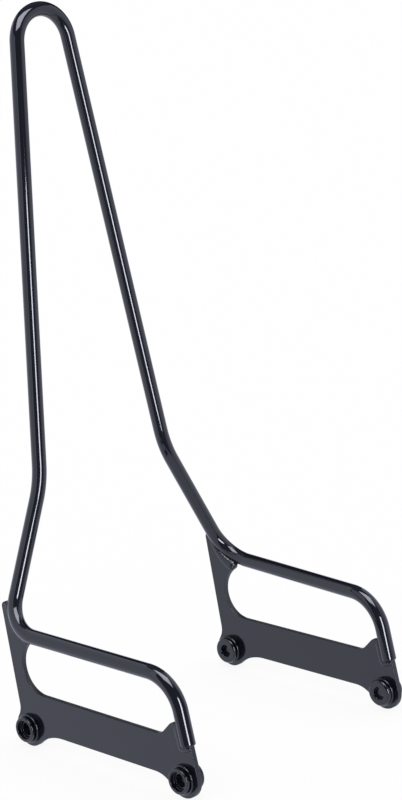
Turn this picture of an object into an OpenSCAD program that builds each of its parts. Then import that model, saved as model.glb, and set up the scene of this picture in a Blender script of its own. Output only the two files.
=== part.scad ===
// Sissy bar for a motorcycle: a hoop of bent round bar, welded to two side plates that bolt
// outside the rear mudguard struts through four turned bushings.
// The rider faces -Y, +Z is up and the part is symmetric about the plane X = 0.
// The origin is below the middle of the part, on the surface that the four plate lobes stand on.

/* [Bar] */
// Diameter of the round bar
bar_d = 12.7; // [8:0.1:16]
// Chamfer round the bar's cut ends
bar_chamfer = 0.8; // [0.2:0.1:2]

/* [Hoop] */
// Height of the crown's centre line over the rear corners, along the leaning upright
hoop_h = 509; // [400:1:700]
// Angle by which the upright leans back
lean = 7; // [0:0.5:15]
// Centre-line radius of the crown
crown_r = 29.3; // [20:0.1:40]
// Height of the waist kinks over the rear corners, along the leaning upright
waist_h = 114; // [90:1:160]
// Half of the distance between the waist kinks
waist_half_w = 74.6; // [50:0.1:95]
// Centre-line radius of the waist kinks
waist_r = 88; // [50:1:120]
// Centre-line radius of the rear bends
rear_bend_r = 32; // [25:0.5:40]
// Centre-line radius of the front bends
front_bend_r = 35.5; // [25:0.5:45]
// Height of the rear corners over the bolt axes
corner_h = 86.4; // [78:0.1:100]
// Distance of the rear corners behind the rear bolt axis
corner_back = 12; // [6:0.1:18]
// Distance by which the rear corners stand outside the plates' middle planes
corner_flare = 8.1; // [0:0.1:12]
// Distance of the front corners behind the front bolt axis
front_corner_back = 8; // [4:0.1:12]
// Drop of a side rail from rear corner to front corner
rail_drop = 4.1; // [0:0.1:8]
// Angle by which the front legs lean forward as they go down
front_lean = 13.5; // [8:0.5:18]
// Length of a front leg, from front corner to cut end
front_leg_l = 55.3; // [48:0.1:60]

/* [Side plates] */
// Distance between the plates' middle planes
plate_gap = 247.6; // [200:0.1:300]
// Thickness of a plate
plate_t = 4.76; // [3:0.01:8]
// Distance between the rear and the front bolt axis
bolt_span = 183; // [150:0.5:220]
// Radius of the lobes round the bolts
lobe_r = 16; // [14:0.1:20]
// Depth of the lower edge below the bolt axes
web_drop = 1; // [0:0.1:6]
// Height of the window's lower edge over the bolt axes
sill_h = 32.4; // [24:0.1:38]
// Distance of the window's rear end behind the rear bolt axis
window_back = 4.6; // [0:0.1:6]
// Radius of the window's rear end
window_r = 24.4; // [21:0.1:26]
// Slope of the rear edge from the vertical
edge_lean = 10.2; // [6:0.1:14]
// Distance of the rear edge's line behind the rear bolt, square to that line
edge_back = 7.6; // [5:0.1:10]
// Height of the horn's tip over the bolt axes
horn_h = 108; // [100:0.5:112]
// Radius of the horn's tip
horn_r = 4.5; // [3:0.1:5]
// Gap that the saddle under the rear bend leaves to the bar's outside, for the weld
saddle_gap = 0.5; // [0.3:0.1:1]
// Radius of the hollow between rear lobe and rear edge
edge_blend_r = 15; // [8:0.5:25]
// Radius of the hollow between rear lobe and lower edge
rear_blend_r = 45; // [20:1:60]
// Radius of the hollow between front lobe and lower edge
front_blend_r = 26; // [12:1:50]
// Distance from the front bolt axis back to the foot of the ramp in front of the window
ramp_foot_back = 26; // [23:0.5:33]
// Slope of that ramp
ramp_angle = 50; // [40:1:60]
// Height of the front tab's top over the bolt axes
tab_h = 46.5; // [42:0.5:52]
// Radius of the hollow at the foot of the ramp
ramp_foot_r = 9; // [4:0.5:14]
// Radius of the round at the top of the ramp
ramp_top_r = 6; // [3:0.5:10]

/* [Bushings] */
// Diameter of the bolt bore
bore_d = 11; // [8:0.1:13]
// Diameter of the counterbore for the bolt's head
head_d = 16.4; // [15:0.1:18]
// Depth of the counterbore
head_depth = 3.8; // [1:0.1:6]
// Diameter of the body where it passes through the plate
body_d = 20; // [18.5:0.1:21]
// Diameter of the two collars against the plate
collar_d = 25.2; // [24:0.1:27]
// Thickness of the outer collar
outer_collar_t = 3.2; // [2:0.1:5]
// Diameter of the outer rim
rim_d = 21.8; // [21.4:0.1:23]
// Distance of the outer rim's face from the plate's outer face
rim_out = 7.1; // [6.5:0.1:10]
// Thickness of the inner collar
inner_collar_t = 4; // [2:0.1:5]
// Diameter of the inner end ring
seat_ring_d = 23.4; // [21.4:0.1:24]
// Distance of the inner end's face from the plate's inner face
seat_out = 8.1; // [7.6:0.1:12]
// Width of the neck groove beside each collar
neck_w = 0.8; // [0.4:0.1:1.4]
// Depth of the neck grooves below the body's diameter where it passes through the plate
neck_depth = 0.3; // [0:0.1:0.8]
// Chamfer on the collars, the rim and the bore's ends
edge_chamfer = 0.6; // [0.2:0.1:1]
// Width of the sloping edge round the inner end's face
seat_chamfer = 1.3; // [0.4:0.1:1.8]

/* [Welds] */
// Radius of the inner bead under the rear bend
inner_bead_r = 3.8; // [3.4:0.1:4.2]
// Radius of the outer bead under the rear bend
outer_bead_r = 2.4; // [2:0.1:2.8]
// Radius of the beads round a front leg's end
leg_bead_r = 3.2; // [2.8:0.1:3.6]

/* [Hidden] */
$fn = 96;

black = "#1b1c20";
coat = "#24262c";
bar_r = bar_d / 2;
plate_x = plate_gap / 2;

// Every place below is [x, y, z] with the rear bolt axis at y = 0, z = 0, for the side at +X.
// The upright lies in a plane through the rear corners, tilted back by the lean.
function upright(x, h) = [x, corner_back + h * sin(lean), corner_h + h * cos(lean)];
function unit(v) = v / norm(v);
// Half the angle of the upper legs: tangent to the crown's circle, through the waist kinks.
crown_up = hoop_h - crown_r;
waist_reach = norm([waist_half_w, crown_up - waist_h]);
leg_angle = atan2(waist_half_w, crown_up - waist_h) - asin(crown_r / waist_reach);
crown_foot = upright(crown_r * cos(leg_angle), crown_up + crown_r * sin(leg_angle));
waist = upright(waist_half_w, waist_h);
rear_corner = upright(plate_x + corner_flare, 0);
front_corner = [plate_x, front_corner_back - bolt_span, corner_h - rail_drop];
leg_down = [0, -sin(front_lean), -cos(front_lean)];
bar_end = front_corner + front_leg_l * leg_down;

// The arc of radius r that rounds the corner b between a and c.
function half_turn(a, b, c) = acos(unit(a - b) * unit(c - b)) / 2;
function turn(a, b, c) = 180 - 2 * half_turn(a, b, c);
function setback(a, b, c, r) = r / tan(half_turn(a, b, c));
function arc_centre(a, b, c, r) = b + unit(unit(a - b) + unit(c - b)) * r / sin(half_turn(a, b, c));

// How far the bend at c is rolled about the bar from the bend at b.
function roll(a, b, c, d) =
  let (n = unit(cross(b - a, c - b)), m = unit(cross(c - b, d - c)))
  atan2(cross(n, m) * unit(c - b), n * m);

// The bends of one side, and the straights between them.
waist_turn = turn(crown_foot, waist, rear_corner);
waist_back = setback(crown_foot, waist, rear_corner, waist_r);
rear_turn = turn(waist, rear_corner, front_corner);
rear_back = setback(waist, rear_corner, front_corner, rear_bend_r);
rear_roll = roll(crown_foot, waist, rear_corner, front_corner);
front_turn = turn(rear_corner, front_corner, bar_end);
front_back = setback(rear_corner, front_corner, bar_end, front_bend_r);
front_roll = roll(waist, rear_corner, front_corner, bar_end);
leg_l = norm(waist - crown_foot) - waist_back;
flare_l = norm(rear_corner - waist) - waist_back - rear_back;
rail_straight = norm(front_corner - rear_corner) - rear_back - front_back;
end_l = front_leg_l - front_back;

// The straights taper into the bends over this length, and the bends are slimmer by a hair, so that they
// join cleanly. Arcs that run out into an edge are sunk by the same hair.
lap = 0.6;
hair = 0.02;

// Centre of the rear bend, and the saddle that the horn has round it, in the plate's plane.
rear_bend = arc_centre(waist, rear_corner, front_corner, rear_bend_r);
saddle = [rear_bend[1], rear_bend[2]];
saddle_r = rear_bend_r + bar_r + saddle_gap;

// Directions in the plate's plane, as [y, z]: along its rear edge, out of it, and out of its front edge.
edge_up = [sin(edge_lean), cos(edge_lean)];
edge_out = [cos(edge_lean), -sin(edge_lean)];
front_out = [-cos(front_lean), sin(front_lean)];
front_up = [sin(front_lean), cos(front_lean)];
front_bolt = [-bolt_span, 0];

// Where the part stands: below the middle of its depth, at the foot of the lobes.
back_y = max(upright(0, hoop_h)[1] + bar_r, lobe_r);
front_y = -bolt_span - lobe_r;
module left()
  translate([0, -(back_y + front_y) / 2, lobe_r])
    children();
module right()
  left()
    mirror([1, 0, 0])
      children();

// Straight length of bar along +Z, with what follows it.
module straight(l) {
  rotate_extrude()
    polygon([[0, -lap], [bar_r - 2 * hair, -lap], [bar_r, 0], [bar_r, l], [bar_r - 2 * hair, l + lap], [0, l + lap]]);
  translate([0, 0, l])
    children();
}

// Bend from +Z towards +X, with what follows it.
module bend(r, angle) {
  translate([r, 0, 0])
    mirror([1, 0, 0])
      rotate([90, 0, 0])
        rotate_extrude(angle = angle)
          translate([r, 0])
            circle(bar_r - hair);
  translate([r, 0, 0])
    rotate([0, angle, 0])
      translate([-r, 0, 0])
        children();
}

// Last straight of the bar, with its chamfered cut end.
module cut_end(l)
  rotate_extrude()
    polygon([[0, -lap], [bar_r - 2 * hair, -lap], [bar_r, 0], [bar_r, l - bar_chamfer],
             [bar_r - bar_chamfer, l], [0, l]]);

// One side of the hoop as it runs down from the crown: waist kink, rear bend, front bend, cut end.
module half_hoop()
  translate(upright(0, crown_up))
    rotate([-lean, 0, 0])
      rotate([0, -leg_angle, 0])
        translate([crown_r, 0, 0])
          mirror([0, 0, 1])
            straight(leg_l)
              bend(waist_r, waist_turn)
                straight(flare_l)
                  rotate([0, 0, -rear_roll])
                    bend(rear_bend_r, rear_turn)
                      straight(rail_straight)
                        rotate([0, 0, -front_roll])
                          bend(front_bend_r, front_turn)
                            cut_end(end_l);

module crown()
  translate(upright(0, crown_up))
    rotate([90 - lean, 0, 0])
      rotate([0, 0, leg_angle])
        rotate_extrude(angle = 180 - 2 * leg_angle)
          translate([crown_r, 0])
            circle(bar_r - hair);

module hoop()
  color(black)
    left() {
      crown();
      half_hoop();
      mirror([1, 0, 0])
        half_hoop();
    }

// Fills the hollow between a lobe at the origin and a straight edge along +x at y = -h.
module lobe_blend(h, r) {
  drop = h + r - hair;
  reach = sqrt(pow(lobe_r + r - hair, 2) - pow(drop, 2));
  difference() {
    polygon([[0, 0], [reach, -drop], [reach, 0]]);
    translate([reach, -drop])
      circle(r);
  }
}

// The sliver between the corner b of two straight edges, towards a and towards c, and the arc that rounds it.
module corner(a, b, c, r)
  difference() {
    polygon([b, b + unit(a - b) * setback(a, b, c, r), arc_centre(a, b, c, r), b + unit(c - b) * setback(a, b, c, r)]);
    translate(arc_centre(a, b, c, r))
      circle(r);
  }

// The window, open upwards to the rail, with the ramp and the front tab's top at its front.
module window() {
  rear = [window_back - window_r, sill_h + window_r];
  foot = [ramp_foot_back - bolt_span, sill_h];
  top = foot + [-(tab_h - sill_h) / tan(ramp_angle), tab_h - sill_h];
  translate(rear)
    circle(window_r);
  difference() {
    polygon([[rear[0], sill_h], [rear[0], corner_h], [front_y, corner_h], [front_y, tab_h], top, foot]);
    corner([rear[0], sill_h], foot, top, ramp_foot_r);
  }
  corner(foot, top, [front_y, tab_h], ramp_top_r);
}

// The plate's outline, in its own plane: x is the part's y, and y is its z.
module plate_outline() {
  tip_up = (horn_h - horn_r + (edge_back - horn_r) * sin(edge_lean)) / cos(edge_lean);
  tip = edge_out * (edge_back - horn_r) + edge_up * tip_up;
  front_foot = front_bolt + front_out * lobe_r;
  front_top = front_foot + front_up * (tab_h - front_foot[1]) / cos(front_lean);
  difference() {
    union() {
      polygon([[0, -web_drop], edge_out * edge_back, tip + edge_out * horn_r, tip, [saddle[0], tip[1]],
               [saddle[0], tab_h], front_top, front_foot, [-bolt_span, -web_drop]]);
      translate(tip)
        circle(horn_r);
      circle(lobe_r);
      translate(front_bolt)
        circle(lobe_r);
      mirror([1, 0])
        lobe_blend(web_drop, rear_blend_r);
      translate(front_bolt)
        lobe_blend(web_drop, front_blend_r);
      rotate(90 - edge_lean)
        lobe_blend(edge_back, edge_blend_r);
    }
    window();
    translate(saddle)
      circle(saddle_r);
    circle(d = body_d);
    translate(front_bolt)
      circle(d = body_d);
  }
}

// A side plate on the left, coped round the rear bend and the front leg.
module plate()
  difference() {
    translate([plate_x - plate_t / 2, 0, 0])
      rotate([90, 0, 90])
        linear_extrude(plate_t)
          plate_outline();
    half_hoop();
  }

module left_plate()
  color(coat)
    left()
      plate();
module right_plate()
  color(coat)
    right()
      plate();

// A bushing at the origin, its outer end towards +Z and the plate's middle plane at z = 0.
module bushing() {
  bore_r = bore_d / 2;
  body_r = body_d / 2;
  collar_r = collar_d / 2;
  neck_r = body_r - neck_depth;
  rim_r = rim_d / 2;
  ring_r = seat_ring_d / 2;
  face = plate_t / 2;
  outer_collar = face + outer_collar_t;
  inner_collar = face + inner_collar_t;
  rim = face + rim_out;
  seat = face + seat_out;
  rotate_extrude()
    polygon([[bore_r, edge_chamfer - seat], [bore_r + edge_chamfer, -seat],
             [ring_r - seat_chamfer, -seat], [ring_r, seat_chamfer - seat],
             [ring_r, -inner_collar - neck_w], [neck_r, -inner_collar - neck_w], [neck_r, -inner_collar],
             [collar_r - edge_chamfer, -inner_collar], [collar_r, edge_chamfer - inner_collar],
             [collar_r, -face], [body_r, -face], [body_r, face], [collar_r, face],
             [collar_r, outer_collar - edge_chamfer], [collar_r - edge_chamfer, outer_collar],
             [neck_r, outer_collar], [neck_r, outer_collar + neck_w], [rim_r, outer_collar + neck_w],
             [rim_r, rim - edge_chamfer], [rim_r - edge_chamfer, rim],
             [head_d / 2, rim], [head_d / 2, rim - head_depth], [bore_r, rim - head_depth]]);
}

module bushing_at(y)
  color(black)
    translate([plate_x, y, 0])
      rotate([0, 90, 0])
        bushing();

module left_rear_bushing() left() bushing_at(0);
module left_front_bushing() left() bushing_at(-bolt_span);
module right_rear_bushing() right() bushing_at(0);
module right_front_bushing() right() bushing_at(-bolt_span);

// A weld's beads are cut to the bar and the plate that they join.
// Under the rear bend one bead lies along each side of the horn's saddle, from the horn's front corner
// to its tip. It starts and ends in a slightly thicker blob. The angles are from straight down, and the
// other values place each bead's middle.
weld_first = 13;
weld_last = 72;
end_blob = 0.4;
inner_bead_in = 0.6;
inner_bead_gap = 2.4;
outer_bead_out = 3.2;
outer_bead_gap = 2.6;

module rear_bead(x, gap, r)
  translate([x, saddle[0], saddle[1]])
    rotate([90, 0, 90]) {
      rotate([0, 0, weld_first - 90])
        rotate_extrude(angle = weld_last - weld_first)
          translate([saddle_r - gap, 0])
            circle(r);
      for (angle = [weld_first, weld_last])
        rotate([0, 0, angle - 90])
          translate([saddle_r - gap, 0, 0])
            sphere(r + end_blob);
    }

module rear_weld()
  difference() {
    union() {
      rear_bead(plate_x - inner_bead_in, inner_bead_gap, inner_bead_r);
      rear_bead(plate_x + outer_bead_out, outer_bead_gap, outer_bead_r);
    }
    half_hoop();
    plate();
  }

// Round a front leg's end a bead runs down behind the leg, then forward below the cut end.
leg_bead_gap = 0.6;
end_bead_gap = 2.4;
leg_bead_l = tab_h - bar_end[2] - leg_bead_r / 2;
end_bead_l = 2 * bar_r - leg_bead_r;

module bead_run(l, r) {
  sphere(r);
  cylinder(h = l, r = r);
  translate([0, 0, l])
    sphere(r);
}

module front_weld()
  difference() {
    for (x = [-plate_t / 2, plate_t / 2])
      translate(bar_end + [x, 0, 0])
        rotate([-front_lean, 0, 0]) {
          translate([0, bar_r + leg_bead_gap, -end_bead_gap])
            bead_run(leg_bead_l + end_bead_gap, leg_bead_r);
          translate([0, bar_r + leg_bead_gap, -end_bead_gap])
            rotate([90, 0, 0])
              bead_run(end_bead_l, leg_bead_r);
        }
    half_hoop();
    plate();
  }

module left_rear_weld()
  color(black)
    left()
      rear_weld();
module right_rear_weld()
  color(black)
    right()
      rear_weld();
module left_front_weld()
  color(black)
    left()
      front_weld();
module right_front_weld()
  color(black)
    right()
      front_weld();

hoop();
right_plate();
left_plate();
right_rear_bushing();
right_front_bushing();
left_rear_bushing();
left_front_bushing();
right_rear_weld();
left_rear_weld();
right_front_weld();
left_front_weld();
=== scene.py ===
from math import asin, atan2, ceil, cos, hypot, pi, radians, sin, sqrt, tan
import bpy
from mathutils import Matrix, Quaternion, Vector
from mathutils.geometry import tessellate_polygon


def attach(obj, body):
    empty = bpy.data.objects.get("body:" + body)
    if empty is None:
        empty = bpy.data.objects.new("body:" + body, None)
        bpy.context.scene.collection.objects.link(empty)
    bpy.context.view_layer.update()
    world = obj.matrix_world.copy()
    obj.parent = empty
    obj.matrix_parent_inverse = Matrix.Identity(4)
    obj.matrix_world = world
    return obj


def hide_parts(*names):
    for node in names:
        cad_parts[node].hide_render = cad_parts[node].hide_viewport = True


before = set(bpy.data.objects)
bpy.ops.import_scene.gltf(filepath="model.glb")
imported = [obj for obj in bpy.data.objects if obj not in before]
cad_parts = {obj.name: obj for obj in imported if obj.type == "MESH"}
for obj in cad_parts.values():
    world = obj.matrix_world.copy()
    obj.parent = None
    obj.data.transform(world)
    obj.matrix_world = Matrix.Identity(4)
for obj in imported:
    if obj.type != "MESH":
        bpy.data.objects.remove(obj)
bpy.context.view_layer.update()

# One length of 12.7 mm round steel bar, bent cold: a tight crown, two waist kinks, two rear and two
# front bends, and ends cut square. After welding the whole part is powder-coated gloss black.
bar_r = 0.00635
end_chamfer = 0.0008
plate_x = 0.1238
bolt_span = 0.183
bolt_place = Vector((0, 0.05931, 0.016))
lean = radians(7)
hoop_h, crown_r = 0.509, 0.0293
waist_h, waist_half_w, waist_r = 0.114, 0.0746, 0.088
rear_bend_r, front_bend_r = 0.032, 0.0355
corner_h, corner_back, corner_flare = 0.0864, 0.012, 0.0081
front_corner_back, rail_drop = 0.008, 0.0041
front_lean, front_leg = radians(13.5), 0.0553
beside_bend = 0.0006


def upright(x, height):
    """A place in the leaning plane of the legs, above the rear corners."""
    return Vector((x, corner_back + height * sin(lean), corner_h + height * cos(lean)))


def corner_of(before, corner, after, radius):
    """Centre of the bend that rounds a corner, its first and last point from there, and its turn."""
    back, onward = (before - corner).normalized(), (after - corner).normalized()
    half = back.angle(onward) / 2
    middle = corner + (back + onward).normalized() * radius / sin(half)
    start, end = (corner + way * radius / tan(half) - middle for way in (back, onward))
    return middle, start, end, pi - 2 * half


def bent(corners, bends, step=radians(2.5)):
    """Centre line of a rod bent at each inner corner, as places with the direction of travel there."""
    line = [(corners[0], (corners[1] - corners[0]).normalized())]
    for before, corner, after, radius in zip(corners, corners[1:], corners[2:], bends):
        middle, start, end, turn = corner_of(before, corner, after, radius)
        axis = start.cross(end).normalized()
        count = ceil(turn / step)
        into, away = axis.cross(start).normalized(), axis.cross(end).normalized()
        line.append((middle + start - into * beside_bend, into))
        for k in range(count + 1):
            spoke = Quaternion(axis, turn * k / count) @ start
            line.append((middle + spoke, axis.cross(spoke).normalized()))
        line.append((middle + end + away * beside_bend, away))
    line.append((corners[-1], (corners[-1] - corners[-2]).normalized()))
    return line


def round_rod(line, radii, sides=64):
    """Skin of a rod along a line: one ring of points for each place, closed at both ends."""
    across = line[0][1].orthogonal().normalized()
    points, faces = [], []
    for (place, along), radius in zip(line, radii):
        across = (across - along * across.dot(along)).normalized()
        other = along.cross(across)
        for side in range(sides):
            angle = 2 * pi * side / sides
            points.append(place + (across * cos(angle) + other * sin(angle)) * radius)
    for ring in range(len(line) - 1):
        low = ring * sides
        for side in range(sides):
            after = (side + 1) % sides
            faces.append((low + side, low + after, low + sides + after, low + sides + side))
    faces.append(tuple(reversed(range(sides))))
    faces.append(tuple(range(len(points) - sides, len(points))))
    return points, faces


def put_in_scene(name, data):
    made = bpy.data.objects.new(name, data)
    bpy.context.scene.collection.objects.link(made)
    return made


def piece(name, shape, slot, coat, *nodes, sharp=40):
    """A finished piece in the part's own frame, standing for its CAD nodes."""
    mesh = bpy.data.meshes.new(name)
    mesh.from_pydata([tuple(p) for p in shape[0]], [], shape[1])
    mesh.materials.append(coat)
    mesh.shade_smooth()
    mesh.set_sharp_from_angle(angle=radians(sharp))
    made = put_in_scene(name, mesh)
    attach(made, "root")
    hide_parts(*nodes)
    return made


class Shade:
    """One output of a coat's nodes, used in sums as a number is."""

    def __init__(self, tree, socket=None):
        self.tree, self.socket = tree, socket

    def node(self, kind, settings=(), sockets=(), output=0):
        made = self.tree.nodes.new(kind)
        for name, value in dict(settings).items():
            setattr(made, name, value)
        for name, value in dict(sockets).items():
            if isinstance(value, Shade):
                self.tree.links.new(value.socket, made.inputs[name])
            else:
                made.inputs[name].default_value = value
        return Shade(self.tree, made.outputs[output] if made.outputs else None)

    def sum(self, operation, first, second):
        return self.node("ShaderNodeMath", {"operation": operation}, {0: first, 1: second})

    def __add__(self, other):
        return self.sum("ADD", self, other)

    def __radd__(self, other):
        return self.sum("ADD", other, self)

    def __sub__(self, other):
        return self.sum("SUBTRACT", self, other)

    def __rsub__(self, other):
        return self.sum("SUBTRACT", other, self)

    def __mul__(self, other):
        return self.sum("MULTIPLY", self, other)

    def __rmul__(self, other):
        return self.sum("MULTIPLY", other, self)


peel_scale, flow_scale, dust_scale = 520.0, 45.0, 1900.0
peel_gloss, dust_gloss, dust_height = 0.03, 0.02, 0.06
thin_coat, thick_coat = 0.75, 1.25


def bare_nodes(owner):
    """A material's or world's own nodes, emptied."""
    owner.use_nodes = True
    owner.node_tree.nodes.clear()
    return Shade(owner.node_tree)


def powder_coat(name, colour, gloss, peel, flow, edges=0.0):
    """Gloss black powder coat: orange peel on a slow waviness, thin and thick patches, duller cut edges."""
    material = bpy.data.materials.new(name)
    coat = bare_nodes(material)
    place = coat.node("ShaderNodeTexCoord", output="Object")
    fine = coat.node("ShaderNodeTexNoise", (),
                     {"Vector": place, "Scale": peel_scale, "Detail": 2.0, "Roughness": 0.45})
    slow = coat.node("ShaderNodeTexNoise", (),
                     {"Vector": place, "Scale": flow_scale, "Detail": 2.0, "Roughness": 0.5})
    dust = coat.node("ShaderNodeTexNoise", (), {"Vector": place, "Scale": dust_scale, "Detail": 1.0})
    darker, lighter = ((*[c * part for c in colour], 1) for part in (thin_coat, thick_coat))
    tone = coat.node("ShaderNodeMix", {"data_type": "RGBA"},
                     {"Factor": slow, 6: darker, 7: lighter}, output=2)
    height = fine * peel + slow * flow + dust * (peel * dust_height)
    bump = coat.node("ShaderNodeBump", (), {"Strength": 1.0, "Distance": 0.001, "Height": height})
    facing = coat.node("ShaderNodeTexCoord", output="Normal")
    sideways = coat.node("ShaderNodeVectorMath", {"operation": "DOT_PRODUCT"},
                         {0: facing, 1: (1.0, 0.0, 0.0)}, output=1)
    face = coat.node("ShaderNodeMath", {"operation": "ABSOLUTE"}, {0: sideways})
    rough = gloss + fine * peel_gloss + dust * dust_gloss + (1.0 - face) * edges
    skin = coat.node("ShaderNodeBsdfPrincipled", (),
                     {"Base Color": tone, "Roughness": rough, "Normal": bump, "IOR": 1.5})
    coat.node("ShaderNodeOutputMaterial", (), {"Surface": skin})
    return material


bar_coat = powder_coat("gloss_black_bar", (0.0045, 0.0051, 0.0095), 0.055, 0.0014, 0.008)

crown_up = hoop_h - crown_r
leg_rise = crown_up - waist_h
leg_angle = atan2(waist_half_w, leg_rise) - asin(crown_r / hypot(waist_half_w, leg_rise))
waist = upright(waist_half_w, waist_h)
rear_corner = upright(plate_x + corner_flare, 0)
front_corner = Vector((plate_x, front_corner_back - bolt_span, corner_h - rail_drop))
bar_end = front_corner + Vector((0, -sin(front_lean), -cos(front_lean))) * front_leg
side = [bar_end, front_corner, rear_corner, waist]
crown = upright(0, crown_up + crown_r / sin(leg_angle))
run = [Vector((-p.x, p.y, p.z)) + bolt_place for p in side] + [crown + bolt_place]
run += [p + bolt_place for p in reversed(side)]
centre_line = bent(run, [front_bend_r, rear_bend_r, waist_r, crown_r, waist_r, rear_bend_r, front_bend_r])

# The chamfer on each cut end has its edges rounded by the coat. Each step is (depth from the end, amount
# that the radius is less there).
end_steps = [(0.0, end_chamfer * 1.15), (0.00007, end_chamfer * 0.92), (0.0002, end_chamfer * 0.72),
             (0.0007, end_chamfer * 0.17), (0.00085, end_chamfer * 0.05), (0.0011, 0.0), (0.0018, 0.0)]
(first, down), (last, out) = centre_line[0], centre_line[-1]
rod = [(first + down * deep, down) for deep, cut in end_steps] + centre_line[1:-1]
rod += [(last - out * deep, out) for deep, cut in reversed(end_steps)]
cuts = [cut for deep, cut in end_steps]
cuts = cuts + [0.0] * (len(rod) - 2 * len(cuts)) + cuts[::-1]
piece("bent_hoop", round_rod(rod, [bar_r - cut for cut in cuts]), "bar", bar_coat, "hoop")

# Two equal plates cut from 4.8 mm sheet, one behind each rail: a lobe round each bolt, a horn up to the
# rear bend, a long window and a front tab under the bar's end. The coat rounds their cut edges a little.
plate_t = 0.00476
edge_round = 0.0004
lobe_r, web_drop, body_r = 0.016, 0.001, 0.010
sill_h, window_back, window_r = 0.0324, 0.0046, 0.0244
edge_lean, edge_back = radians(10.2), 0.0076
horn_h, horn_r, saddle_gap = 0.108, 0.0045, 0.0005
edge_blend_r, rear_blend_r, front_blend_r = 0.015, 0.045, 0.026
ramp_foot_back, ramp_angle, tab_h, ramp_foot_r, ramp_top_r = 0.0242, radians(46), 0.0452, 0.013, 0.005


def heading(start, end):
    """The angle of the way from one point to another, in the plate's plane."""
    return atan2(end[1] - start[1], end[0] - start[0])


def arc(middle, radius, start, end, step=radians(4)):
    """Points of an arc in the plate's plane, from one angle to the other."""
    count = max(2, ceil(abs(end - start) / step))
    turns = [start + (end - start) * k / count for k in range(count + 1)]
    return [Vector((middle[0] + radius * cos(turn), middle[1] + radius * sin(turn))) for turn in turns]


def blend_at(foot, out, along, depth, radius):
    """Centre of the hollow between a lobe and the straight edge that passes it at a depth."""
    return foot + out * (depth + radius) + along * sqrt((lobe_r + radius) ** 2 - (depth + radius) ** 2)


rear_bolt, front_bolt = Vector((0, 0)), Vector((-bolt_span, 0))
edge_out, edge_up = Vector((cos(edge_lean), -sin(edge_lean))), Vector((sin(edge_lean), cos(edge_lean)))
front_out, front_up = Vector((-cos(front_lean), sin(front_lean))), Vector((sin(front_lean), cos(front_lean)))
rear_bend = corner_of(waist, rear_corner, front_corner, rear_bend_r)[0]
saddle, saddle_r = Vector((rear_bend.y, rear_bend.z)), rear_bend_r + bar_r + saddle_gap
tip_in = edge_back - horn_r
tip = edge_out * tip_in + edge_up * ((horn_h - horn_r + tip_in * sin(edge_lean)) / cos(edge_lean))
window_end = Vector((window_back - window_r, sill_h + window_r))


def meeting(middle, radius, other, other_radius, turn):
    """Where two circles cross: the crossing on the given side of the line between their centres."""
    apart = other - middle
    reach = (apart.length_squared + radius ** 2 - other_radius ** 2) / (2 * apart.length)
    ahead = apart.normalized()
    return middle + ahead * reach + Vector((-ahead.y, ahead.x)) * turn * sqrt(radius ** 2 - reach ** 2)


rear_hollow = blend_at(rear_bolt, Vector((0, -1)), Vector((-1, 0)), web_drop, rear_blend_r)
edge_hollow = blend_at(rear_bolt, edge_out, edge_up, edge_back, edge_blend_r)
front_hollow = blend_at(front_bolt, Vector((0, -1)), Vector((1, 0)), web_drop, front_blend_r)
tip_meets = meeting(saddle, saddle_r, tip, horn_r, 1)
cusp = meeting(saddle, saddle_r, window_end, window_r, 1)
foot = Vector((ramp_foot_back - bolt_span, sill_h))
top = foot + Vector((-(tab_h - sill_h) / tan(ramp_angle), tab_h - sill_h))
front_foot = front_bolt + front_out * lobe_r
front_top = front_foot + front_up * ((tab_h - front_foot.y) / cos(front_lean))


def fillet(before, corner, after, radius):
    """Points of the arc that rounds a corner of an outline."""
    middle, start, end, turn = corner_of(before, corner, after, radius)
    first = heading((0, 0), start)
    swing = (heading((0, 0), end) - first + pi) % (2 * pi) - pi
    return arc(middle, radius, first, first + swing)


outline = arc(rear_hollow, rear_blend_r, pi / 2, heading(rear_hollow, rear_bolt))
outline += arc(rear_bolt, lobe_r, heading(rear_bolt, rear_hollow), heading(rear_bolt, edge_hollow))[1:]
outline += arc(edge_hollow, edge_blend_r, heading(edge_hollow, rear_bolt) + 2 * pi, pi - edge_lean)[1:]
outline += arc(tip, horn_r, -edge_lean, heading(tip, tip_meets))
outline += arc(saddle, saddle_r, heading(saddle, tip_meets), heading(saddle, cusp))[1:]
outline += arc(window_end, window_r, heading(window_end, cusp), -pi / 2)[1:]
outline += fillet(window_end + Vector((0, -window_r)), foot, top, ramp_foot_r)
outline += fillet(foot, top, front_top, ramp_top_r)
outline += [front_top]
outline += arc(front_bolt, lobe_r, heading(front_bolt, front_foot),
               heading(front_bolt, front_hollow) + 2 * pi)
outline += arc(front_hollow, front_blend_r, heading(front_hollow, front_bolt), pi / 2)[1:]
holes = [arc(bolt, body_r, 2 * pi, 0, radians(7.5))[:-1] for bolt in (rear_bolt, front_bolt)]


def set_in(loop, distance):
    """A closed outline moved inwards by a distance, with its corners kept sharp."""
    moved = []
    for before, point, after in zip(loop[-1:] + loop[:-1], loop, loop[1:] + loop[:1]):
        a, b = (point - before).normalized(), (after - point).normalized()
        a, b = Vector((a.y, -a.x)), Vector((b.y, -b.x))
        moved.append(point - (a + b) * distance / (1 + a.dot(b)))
    return moved


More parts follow.
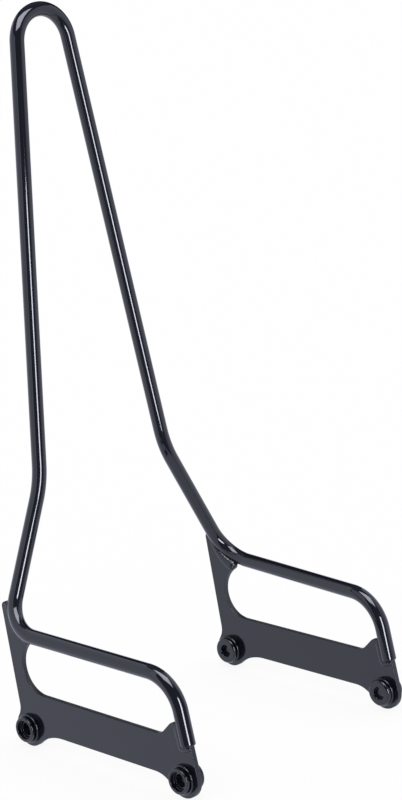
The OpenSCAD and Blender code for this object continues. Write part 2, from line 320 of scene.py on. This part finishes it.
def cut_plate(way):
    """A plate with rounded edges at X = plate_x, mirrored for the right side."""
    levels = [(edge_round * (1 - sin(turn)), plate_t / 2 - edge_round * (1 - cos(turn)))
              for turn in (0, pi / 8, pi / 4, 3 * pi / 8, pi / 2)]
    levels += [(inset, -x) for inset, x in reversed(levels)]
    points, faces = [], []
    for inset, x in levels:
        points += [(x, *p) for loop in [set_in(outline, inset)] + holes for p in loop]
    ring = len(points) // len(levels)
    start = 0
    for loop in [outline] + holes:
        rows = range(len(levels) - 1) if loop is outline else [0]
        for row in rows:
            lower = row * ring if loop is outline else 0
            upper = lower + ring if loop is outline else (len(levels) - 1) * ring
            for k in range(len(loop)):
                a, b = start + k, start + (k + 1) % len(loop)
                faces.append((lower + b, lower + a, upper + a, upper + b))
        start += len(loop)
    flat_loops = [set_in(outline, edge_round)] + holes
    flat = tessellate_polygon([[Vector((*p, 0)) for p in loop] for loop in flat_loops])
    for cap, (base, outward) in enumerate(((0, 1), ((len(levels) - 1) * ring, -1))):
        for a, b, c in flat:
            pa, pb, pc = (Vector(points[base + k]) for k in (a, b, c))
            if (pb - pa).cross(pc - pa).x * outward < 0:
                b, c = c, b
            faces.append((base + a, base + b, base + c))
    middle = Vector((plate_x, 0, 0)) + bolt_place
    placed = [Vector(((p[0] + middle.x) * way, p[1] + middle.y, p[2] + middle.z)) for p in points]
    if way < 0:
        faces = [tuple(reversed(face)) for face in faces]
    return placed, faces


def flat_faces_crisp(made):
    """Keeps the flat faces out of the rounded edges' shading."""
    mesh = made.data
    flat = [abs(face.normal.x) > 0.9999 for face in mesh.polygons]
    border = {}
    for face in mesh.polygons:
        for key in face.edge_keys:
            border.setdefault(key, []).append(flat[face.index])
    for edge in mesh.edges:
        kinds = border[edge.key]
        if len(set(kinds)) == 2:
            edge.use_edge_sharp = True


plate_coat = powder_coat("gloss_black_plate", (0.0048, 0.0056, 0.0100), 0.08, 0.003, 0.014, 0.4)
for name, way in (("left", 1), ("right", -1)):
    flat_faces_crisp(piece(name + "_side_plate", cut_plate(way), "plate", plate_coat, name + "_plate"))

# Four bushings turned from round bar, one through each lobe: an outer rim with a counterbore for the
# bolt's head, a neck groove beside each collar, and an inner end ring that seats on the mudguard strut.
bore_r, head_r, head_depth = 0.0055, 0.0082, 0.0038
collar_r, outer_collar_t, inner_collar_t = 0.0126, 0.0032, 0.004
rim_r, rim_out = 0.0109, 0.0071
seat_ring_r, seat_out, seat_chamfer = 0.0117, 0.0081, 0.0013
neck_w, neck_r, edge_chamfer = 0.0008, 0.0097, 0.0006
beside_corner = 0.00005
face_at = plate_t / 2
rim, seat = face_at + rim_out, face_at + seat_out
outer_collar, inner_collar = face_at + outer_collar_t, face_at + inner_collar_t

# Each place is (radius, distance outwards from the plate's middle) and the rounding of that corner.
turned = [((bore_r, edge_chamfer - seat), 0.0003), ((bore_r + edge_chamfer, -seat), 0.0003),
          ((seat_ring_r - seat_chamfer, -seat), 0.0012), ((seat_ring_r, seat_chamfer - seat), 0.0015),
          ((seat_ring_r, -inner_collar - neck_w), 0.0003), ((neck_r, -inner_collar - neck_w), 0.0002),
          ((neck_r, -inner_collar), 0.0002), ((collar_r - edge_chamfer, -inner_collar), 0.0008),
          ((collar_r, edge_chamfer - inner_collar), 0.0009), ((collar_r, -face_at), 0.0002),
          ((body_r, -face_at), 0.0001), ((body_r, face_at), 0.0001),
          ((collar_r, face_at), 0.0002), ((collar_r, outer_collar - edge_chamfer), 0.0009),
          ((collar_r - edge_chamfer, outer_collar), 0.0008), ((neck_r, outer_collar), 0.0002),
          ((neck_r, outer_collar + neck_w), 0.0002), ((rim_r, outer_collar + neck_w), 0.0003),
          ((rim_r, rim - edge_chamfer), 0.0009), ((rim_r - edge_chamfer, rim), 0.0006),
          ((head_r, rim), 0.0004), ((head_r, rim - head_depth), 0.0003), ((bore_r, rim - head_depth), 0.0003)]


def turn_bushing(way, bolt, sides=96):
    """The turned profile, spun about its bolt's axis."""
    corners = [Vector(place) for place, rounding in turned]
    profile = []
    for k, (place, rounding) in enumerate(turned):
        before, corner, after = corners[k - 1], corners[k], corners[(k + 1) % len(corners)]
        bend = fillet(before, corner, after, rounding)[::3]
        lead, trail = ((other - corner).normalized() * beside_corner for other in (before, after))
        profile += [bend[0] + lead, *bend, bend[-1] + trail]
    points, faces = [], []
    for k in range(sides):
        angle = 2 * pi * k / sides
        points += [Vector((way * (plate_x + out), bolt[0] + r * cos(angle), r * sin(angle))) + bolt_place
                   for r, out in profile]
    count = len(profile)
    for k in range(sides):
        here, there = k * count, (k + 1) % sides * count
        for j in range(count):
            after = (j + 1) % count
            quad = (here + j, here + after, there + after, there + j)
            faces.append(quad[::-1] if way > 0 else quad)
    return points, faces


bushing_coat = powder_coat("gloss_black_bushing", (0.0036, 0.0042, 0.0075), 0.06, 0.003, 0.006)
for name, way in (("left", 1), ("right", -1)):
    for end, bolt in (("rear", rear_bolt), ("front", front_bolt)):
        piece(f"{name}_{end}_turned_bushing", turn_bushing(way, bolt), "bushing", bushing_coat,
              f"{name}_{end}_bushing")

# Hand-laid beads, coated with the rest. Under each rear bend one fills the gap from the horn's saddle to
# the bar and a low one lies on the plate's inner face, and on both faces of the plate one runs down
# behind the front leg's end and forward below it.
weld_first, weld_last = radians(21), radians(78)
root_bead_r = 0.0047
inner_bead_w, inner_bead_proud, inner_bead_in, inner_bead_gap = 0.0034, 0.0024, 0.0009, 0.0010
leg_bead_w, leg_bead_proud, leg_bead_gap, end_bead_gap = 0.0029, 0.0014, 0.0006, 0.0024
leg_bead_down, end_bead_short, leg_bead_bend = 0.0026, 0.0050, 0.003
bead_step = 0.00025
ripple_size, ripple_waves, ripple_drift = 0.02, 2900, 610
toe_sizes, toe_waves = (0.06, 0.04), (1350, 2330)


def bead(line, wide, proud, lumps, phase, fade, sides=36):
    """A weld bead: a swell with uneven toes, shallow ripples and round ends, whose far end is smaller."""
    spread, travel = [], [0.0]
    for (a, along_a), (b, along_b) in zip(line, line[1:]):
        steps = max(1, ceil((b - a).length / bead_step))
        spread += [(a.lerp(b, k / steps), along_a.lerp(along_b, k / steps).normalized())
                   for k in range(steps)]
    spread.append(line[-1])
    for (a, _), (b, _) in zip(spread, spread[1:]):
        travel.append(travel[-1] + (b - a).length)
    run = travel[-1]

    # Each station is (place, way along, share of the full section, distance from the start).
    cap = [radians(angle) for angle in (86, 75, 60, 45, 30, 15)]
    (first, ahead), (last, onward) = spread[0], spread[-1]
    stations = [(first - ahead * wide * sin(t), ahead, cos(t), -wide * sin(t)) for t in cap]
    stations += [(place, along, 1.0, at) for (place, along), at in zip(spread, travel)]
    stations += [(last + onward * wide * (1 - fade) * sin(t), onward, cos(t), run + wide * sin(t))
                 for t in reversed(cap)]
    points, faces, out = [], [], Vector((1, 0, 0))
    for place, along, size, at in stations:
        beside = along.cross(out)
        size *= 1 - fade * min(1.0, max(0.0, at / run))
        drift = 1.3 * sin(at * ripple_drift + phase)
        ripple = ripple_size * lumps * sin(at * ripple_waves + phase * 9 + drift)
        for side in range(sides):
            angle = 2 * pi * side / sides
            toe = toe_sizes[0] * sin(at * toe_waves[0] + phase * 7 + 2 * cos(angle))
            toe += toe_sizes[1] * sin(at * toe_waves[1] + phase * 3 - 1.5 * cos(angle))
            swell = 1 + lumps * toe * abs(cos(angle)) + ripple * abs(sin(angle))
            points.append(place + (beside * cos(angle) * wide + out * sin(angle) * proud) * size * swell)
    for low in range(0, len(points) - sides, sides):
        for side in range(sides):
            after = (side + 1) % sides
            faces.append((low + side, low + sides + side, low + sides + after, low + after))
    faces.append(tuple(range(sides)))
    faces.append(tuple(reversed(range(len(points) - sides, len(points)))))
    return points, faces


def saddle_line(x, gap, count=30):
    """The line of a bead beside the saddle, from the window's corner to the horn's tip."""
    line = []
    for k in range(count + 1):
        turn = weld_first + (weld_last - weld_first) * k / count - pi / 2
        spoke = Vector((0, cos(turn), sin(turn)))
        line.append((Vector((x, *saddle)) + spoke * (saddle_r - gap), Vector((0, -sin(turn), cos(turn)))))
    return line


def root_line():
    """The line of the bead that fills the gap from the saddle to the bar, halfway between them."""
    places = []
    for place in (place - bolt_place for place, _ in centre_line):
        spoke = Vector((place.y, place.z)) - saddle
        if place.x > plate_x / 2 and weld_first < atan2(spoke.y, spoke.x) + pi / 2 < weld_last:
            edge = Vector((plate_x, *(saddle + spoke.normalized() * saddle_r)))
            apart = (place - edge).length
            places.append(edge.lerp(place, (apart - bar_r) / apart / 2))
    places.sort(key=lambda place: place.z)
    return [(place, (after - before).normalized())
            for before, place, after in zip(places[:1] + places, places, places[1:] + places[-1:])]


def leg_line(x):
    """The line of a bead down behind a front leg and forward below its cut end."""
    behind, below = bar_r + leg_bead_gap, -end_bead_gap
    spots = [(behind, tab_h - bar_end.z - leg_bead_down), (behind, below), (end_bead_short - bar_r, below)]
    up, back = Vector((0, *front_up)), Vector((0, *-front_out))
    places = [bar_end + Vector((x, 0, 0)) + back * y + up * z for y, z in spots]
    return bent(places, [leg_bead_bend], radians(6))


def several(shapes):
    """Shapes put together in one piece."""
    points, faces = [], []
    for shape in shapes:
        faces += [tuple(k + len(points) for k in face) for face in shape[1]]
        points += shape[0]
    return points, faces


def at_side(shape, way):
    """A shape made for the left, put on its side of the part."""
    placed = [Vector((way * p.x, p.y, p.z)) + bolt_place for p in shape[0]]
    return placed, shape[1] if way > 0 else [face[::-1] for face in shape[1]]


weld_coat = powder_coat("gloss_black_weld", (0.0045, 0.0051, 0.0092), 0.2, 0.005, 0.02)
for name, way in (("left", 1), ("right", -1)):
    root = bead(root_line(), root_bead_r, root_bead_r, lumps=0.3, phase=0.1, fade=0.42)
    inner_line = saddle_line(plate_x - inner_bead_in, inner_bead_gap)
    inner = bead(inner_line, inner_bead_w, inner_bead_proud, lumps=0.5, phase=0.4, fade=0.35)
    rear = several([root, inner])
    front = several([bead(leg_line(x), leg_bead_w, leg_bead_proud, lumps=1.1, phase=0.5 + x * 300, fade=0.3)
                     for x in (-face_at, face_at)])
    piece(name + "_rear_bend_weld", at_side(rear, way), "weld", weld_coat, name + "_rear_weld", sharp=80)
    piece(name + "_front_leg_weld", at_side(front, way), "weld", weld_coat, name + "_front_weld", sharp=80)

# The studio: a pale floor that runs out of sight and keeps the part's soft shadow, and a white room.
floor_half, floor_shade, floor_glow = 40, 0.96, 0.9


def stage_sheet(name, points, faces, paint):
    """A sheet of the stage, with its paint."""
    mesh = bpy.data.meshes.new(name)
    mesh.from_pydata(points, [], faces)
    mesh.materials.append(paint)
    made = put_in_scene(name, mesh)
    return made


floor_paint = bpy.data.materials.new("pale_floor")
paint = bare_nodes(floor_paint)
seen = (paint.node("ShaderNodeLightPath", output="Is Camera Ray")
        + paint.node("ShaderNodeLightPath", output="Is Glossy Ray")
        + paint.node("ShaderNodeLightPath", output="Is Transmission Ray"))
lit = paint.node("ShaderNodeBsdfDiffuse", (), {"Color": (floor_shade, floor_shade, floor_shade, 1)})
bright = paint.node("ShaderNodeEmission", (), {"Color": (1, 1, 1, 1), "Strength": 1.0})
floor_skin = paint.node("ShaderNodeMixShader", (), {0: seen * floor_glow, 1: lit, 2: bright})
paint.node("ShaderNodeOutputMaterial", (), {"Surface": floor_skin})
floor_corners = [(x * floor_half, y * floor_half, 0) for x, y in ((-1, -1), (1, -1), (1, 1), (-1, 1))]
stage_sheet("floor", floor_corners, [(0, 1, 2, 3)], floor_paint)

world = bpy.data.worlds.new("studio_room")
bpy.context.scene.world = world
room = bare_nodes(world)
walls = room.node("ShaderNodeBackground", (), {"Color": (1, 1, 1, 1), "Strength": 1.0})
room.node("ShaderNodeOutputWorld", (), {"Surface": walls})

# Cards that show only as reflections in the gloss: white walls close to both sides, a white cloth under the
# part, and a dark room with a dark ceiling and a dark cloth towards the camera.
white, black, deep_black = (1.0, 1.04, 1.25), (0.18, 0.19, 0.25), (0.03, 0.03, 0.04)
room_r, room_h, back_r, back_h, wall_r, wall_h = 3.0, 3.0, 2.5, 2.9, 0.43, 0.78
toward, across = Vector((-0.695, -0.719)), Vector((0.719, -0.695))
cloth_edge, cloth_end = 0.30, 2.8


def card(name, points, faces, colour):
    """A studio card that only shows mirrored in the gloss."""
    paint = bpy.data.materials.new(name)
    glow = bare_nodes(paint)
    glow.node("ShaderNodeOutputMaterial", (), {
        "Surface": glow.node("ShaderNodeEmission", (), {"Color": (*colour, 1)})})
    made = stage_sheet(name, points, faces, paint)
    made.visible_camera = made.visible_diffuse = made.visible_shadow = made.visible_transmission = False


def curved_card(name, radius, first, last, low, high, colour, count=24):
    """An upright card on an arc round the object, between two headings in degrees from +X."""
    turns = [radians(first + (last - first) * k / count) for k in range(count + 1)]
    points = [(radius * cos(turn), radius * sin(turn), z) for z in (low, high) for turn in turns]
    card(name, points, [(k, k + 1, k + count + 2, k + count + 1) for k in range(count)], colour)


def cloth(name, first, last, half, lift, colour):
    """A cloth on the floor, between two distances towards the camera."""
    corners = [toward * near + across * wide for near, wide in
               ((first, -half), (first, half), (last, half), (last, -half))]
    card(name, [(*corner, lift) for corner in corners], [(0, 1, 2, 3)], colour)


curved_card("dark_room", room_r, -180, 180, 0.0, room_h, black, 48)
ceiling = [(x * room_r, y * room_r, room_h - 0.01) for x, y in ((-1, -1), (1, -1), (1, 1), (-1, 1))]
card("dark_ceiling", ceiling, [(0, 1, 2, 3)], black)
cloth("dark_cloth", cloth_edge, cloth_end, 2.5, 0.001, black)
cloth("pale_cloth", -0.9, cloth_edge, 0.9, 0.0006, white)
curved_card("dark_back", back_r, 2, 88, 0.7, back_h, deep_black)
curved_card("pale_back", back_r, 2, 88, 0.0, 0.7, white)
for name, start, end, height, strength in (
        ("left_card", 85, 170, wall_h, 1.1), ("left_card_edge", 170, 180, wall_h, 1.35),
        ("right_card", -60, 8, 0.9, 1.0), ("right_card_edge", -72, -60, 0.9, 0.6)):
    curved_card(name, wall_r, start, end, 0.0, height, [strength * c for c in white])


# Two soft lamps: a square one overhead on the camera's side and an upright strip beside the camera.
lamp_colour = (0.96, 0.98, 1.12)
top_lamp_out, top_lamp_h = 0.48, 1.48


def lamp(name, place, turned_to, width, height, power):
    """A soft lamp of a size, as bright for each square metre as its power says."""
    made = put_in_scene(name, bpy.data.lights.new(name, "AREA"))
    made.data.shape, made.data.size, made.data.size_y = "RECTANGLE", width, height
    made.data.energy = power * width * height * pi
    made.data.color = lamp_colour
    made.location = place
    made.rotation_euler = turned_to
    made.visible_diffuse = made.visible_camera = False


lamp("top_lamp", (*(toward * top_lamp_out), top_lamp_h), (0, 0, atan2(toward.y, toward.x)), 0.98, 1.1, 8.0)
strip_place = Vector((-0.43, -1.07, 0.355))
strip_aim = Vector((-strip_place.x, -strip_place.y, 0)).to_track_quat("-Z", "Y").to_euler()
lamp("strip_lamp", strip_place, strip_aim, 0.30, 0.69, 20.0)

# The camera stands in front of the part, to its right and above it, where the photograph was taken from.
# The lens is given by its focal length in pixels of a picture that is 800 pixels high.
focal_pixels, picture_h, sensor = 2354.1, 800, 36
camera = put_in_scene("camera", bpy.data.cameras.new("camera"))
camera.data.sensor_width = sensor
camera.data.lens = focal_pixels / picture_h * sensor
camera.data.clip_end = 100
right_way, up_way = Vector((0.6967, -0.7158, -0.0475)), Vector((0.198, 0.1282, 0.9718))
back_way = Vector((-0.6896, -0.6864, 0.231))
aim = Matrix((right_way, up_way, back_way)).transposed().to_4x4()
camera.matrix_world = Matrix.Translation((-1.34575, -1.37782, 0.73988)) @ aim
bpy.context.scene.camera = camera
bpy.context.scene.view_settings.view_transform = "Standard"
